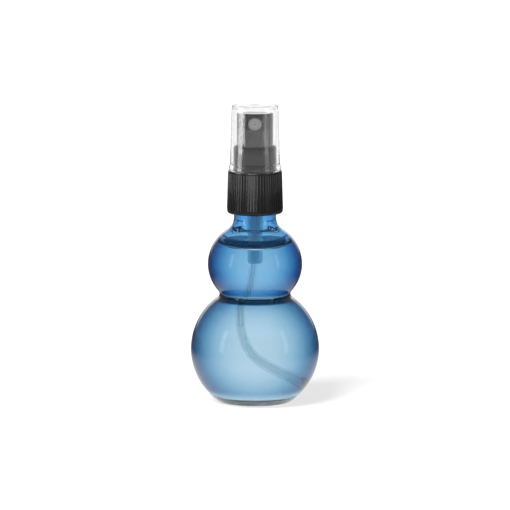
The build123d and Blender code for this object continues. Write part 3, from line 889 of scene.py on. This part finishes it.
class ATOMISER_OT_stage(Builder, bpy.types.Operator):
    """Sets the floor, the lights and the camera"""

    bl_idname = "atomiser.stage"
    bl_label = "Stage"

    def build(self, scene):
        s = scene.atomiser_stage
        bpy.ops.object.select_all(action="DESELECT")
        bpy.ops.mesh.primitive_plane_add(size=12, location=(0, 0, -0.2 * MM))
        floor = bpy.context.object
        floor.name = "floor"
        dress(floor, self.paper())
        self.world(scene)
        centre = Vector((0, 0, s.target_z))
        self.sun(-38, 50, 28, s.key_strength)
        for name, azimuth, width, power, receivers in SOFTBOXES:
            self.softbox(name, centre, azimuth, width, power, receivers)
        away = self.towards(0, math.degrees(s.elevation))
        bpy.ops.object.camera_add(location=centre + away * s.distance)
        camera = bpy.context.object
        camera.rotation_euler = (-away).to_track_quat("-Z", "Y").to_euler()
        camera.data.sensor_width = SENSOR_WIDTH
        camera.data.lens = s.distance / s.view_width * SENSOR_WIDTH
        camera.data.clip_end = 50
        scene.camera = camera
        scene.view_settings.view_transform = "Standard"
        scene.cycles.max_bounces = 32
        scene.cycles.glossy_bounces = 32
        scene.cycles.transmission_bounces = 32
        scene.cycles.transparent_max_bounces = 32

    def paper(self):
        """White floor paper that glows: even when seen through glass, and as a painted reflection that is
        bright near the object and dim in a reflection from further off.
        """
        shade = Shade("floor_paper")
        where = {0: shade.position()}
        away = shade.add("ShaderNodeVectorMath", {"operation": "LENGTH"}, where, output="Value")
        matt = shade.add("ShaderNodeBsdfDiffuse", inputs={"Color": (0.8, 0.8, 0.8, 1)})
        # painted light: the floor glows, evenly to rays through glass, and in reflections bright near the
        # object and dim further off
        bright = shade.add("ShaderNodeEmission", inputs={"Strength": 1.22})
        dim = shade.add("ShaderNodeEmission", inputs={"Strength": 0.12})
        mix = {0: away.ramp(0.03, 0.15), 1: bright, 2: dim}
        painted_reflection = shade.add("ShaderNodeMixShader", inputs=mix)
        level = matt
        for ray, other in (("Is Glossy Ray", painted_reflection), ("Is Transmission Ray", bright)):
            chosen = shade.add("ShaderNodeLightPath", output=ray)
            level = shade.add("ShaderNodeMixShader", inputs={0: chosen, 1: level, 2: other})
        return shade.finish(level)

    def world(self, scene):
        """White paper behind and below, with a dim studio that only gloss and glass pick up."""
        studio = Shade("studio", bpy.data.worlds)
        direction = studio.add("ShaderNodeTexCoord", output="Generated")
        depth = studio.add("ShaderNodeSeparateXYZ", inputs={0: direction}, output="Y")
        gloss_stops = [(0.0, 0.04), (0.5, 0.09), (0.93, 0.2), (0.965, 1.2)]
        gloss = studio.add("ShaderNodeValToRGB", {"stops": gloss_stops}, {0: depth * 0.5 + 0.5})
        across = studio.add("ShaderNodeMath", {"operation": "ABSOLUTE"}, {0: depth})
        glass_stops = [(0.0, 1.05), (0.5, 1.1), (0.75, 1.18), (0.9, 1.22)]
        glass = studio.add("ShaderNodeValToRGB", {"stops": glass_stops}, {0: across})
        # shiny parts under the overcap reflect a dim front, as they do in the open
        mirrored = studio.add("ShaderNodeLightPath", output="Glossy Depth").ramp(0.4, 0.6)
        walls = studio.add("ShaderNodeLightPath", output="Transmission Depth").ramp(3.4, 3.6)
        glass = glass * (1 - mirrored * walls * (1 - depth.ramp(-0.4, 0.2)) * 0.94)
        level = studio.add("ShaderNodeBackground", inputs={"Color": (1, 1, 1, 1), "Strength": 1.02})
        for ray, tint, strength in (
            ("Is Diffuse Ray", (1, 1, 1, 1), 1.0),
            ("Is Glossy Ray", gloss, 1.0),
            ("Is Transmission Ray", glass, 1.0),
        ):
            light = studio.add("ShaderNodeBackground", inputs={"Color": tint, "Strength": strength})
            chosen = studio.add("ShaderNodeLightPath", output=ray)
            level = studio.add("ShaderNodeMixShader", inputs={0: chosen, 1: level, 2: light})
        scene.world = studio.finish(level, kind="ShaderNodeOutputWorld")
        scene.world.cycles.sampling_method = "NONE"

    def towards(self, azimuth, elevation):
        """The direction from the object, with its azimuth to the camera's right."""
        az, el = math.radians(azimuth), math.radians(elevation)
        return Vector((math.sin(az) * math.cos(el), -math.cos(az) * math.cos(el), math.sin(el)))

    def sun(self, azimuth, elevation, angle, strength):
        """The soft key that throws the shadow, and shows in no reflection."""
        bpy.ops.object.light_add(type="SUN", location=(0, 0, 1))
        light = bpy.context.object
        light.name = "key"
        away = self.towards(azimuth, elevation)
        light.rotation_euler = (-away).to_track_quat("-Z", "Y").to_euler()
        light.data.angle = math.radians(angle)
        light.data.energy = strength
        light.visible_glossy = light.visible_transmission = False

    def softbox(self, name, target, azimuth, width, power, receivers):
        """A tall light a metre from the object, which shows only in the pieces it is meant for."""
        away = self.towards(azimuth, 0)
        bpy.ops.object.light_add(type="AREA", location=target + away)
        light = bpy.context.object
        light.name = name
        light.rotation_euler = (-away).to_track_quat("-Z", "Y").to_euler()
        light.data.shape = "RECTANGLE"
        light.data.size, light.data.size_y = width, SOFTBOX_HEIGHT
        light.data.energy = power
        light.light_linking.receiver_collection = receivers_of(receivers)



class ATOMISER_PT_panel(bpy.types.Panel):
    """Lists the pieces in the sidebar."""

    bl_label = "Perfume Atomiser"
    bl_space_type = "VIEW_3D"
    bl_region_type = "UI"
    bl_category = "Atomiser"

    def draw(self, context):
        for name, _ in SETTINGS:
            box = self.layout.box()
            group = getattr(context.scene, name)
            for key in group.bl_rna.properties.keys():
                if key not in ("rna_type", "name"):
                    box.prop(group, key)
        for operator in OPERATORS:
            self.layout.operator(operator.bl_idname)


SETTINGS = (
    ("atomiser_bottle", BottleSettings),
    ("atomiser_perfume", PerfumeSettings),
    ("atomiser_closure", ClosureSettings),
    ("atomiser_spray", SpraySettings),
    ("atomiser_stage", StageSettings),
)
OPERATORS = (
    ATOMISER_OT_stage,
    ATOMISER_OT_bottle,
    ATOMISER_OT_perfume,
    ATOMISER_OT_pump,
    ATOMISER_OT_closure,
    ATOMISER_OT_spray_head,
    ATOMISER_OT_overcap,
)


def register():
    for name, group in SETTINGS:
        bpy.utils.register_class(group)
        setattr(bpy.types.Scene, name, PointerProperty(type=group))
    for operator in OPERATORS:
        bpy.utils.register_class(operator)
    bpy.utils.register_class(ATOMISER_PT_panel)


def unregister():
    bpy.utils.unregister_class(ATOMISER_PT_panel)
    for operator in reversed(OPERATORS):
        bpy.utils.unregister_class(operator)
    for name, group in reversed(SETTINGS):
        delattr(bpy.types.Scene, name)
        bpy.utils.unregister_class(group)


def main():
    register()
    bpy.ops.atomiser.stage()
    bpy.ops.atomiser.bottle()
    bpy.ops.atomiser.perfume()
    bpy.ops.atomiser.pump()
    bpy.ops.atomiser.closure()
    bpy.ops.atomiser.spray_head()
    bpy.ops.atomiser.overcap()


if __name__ == "__main__":
    main()
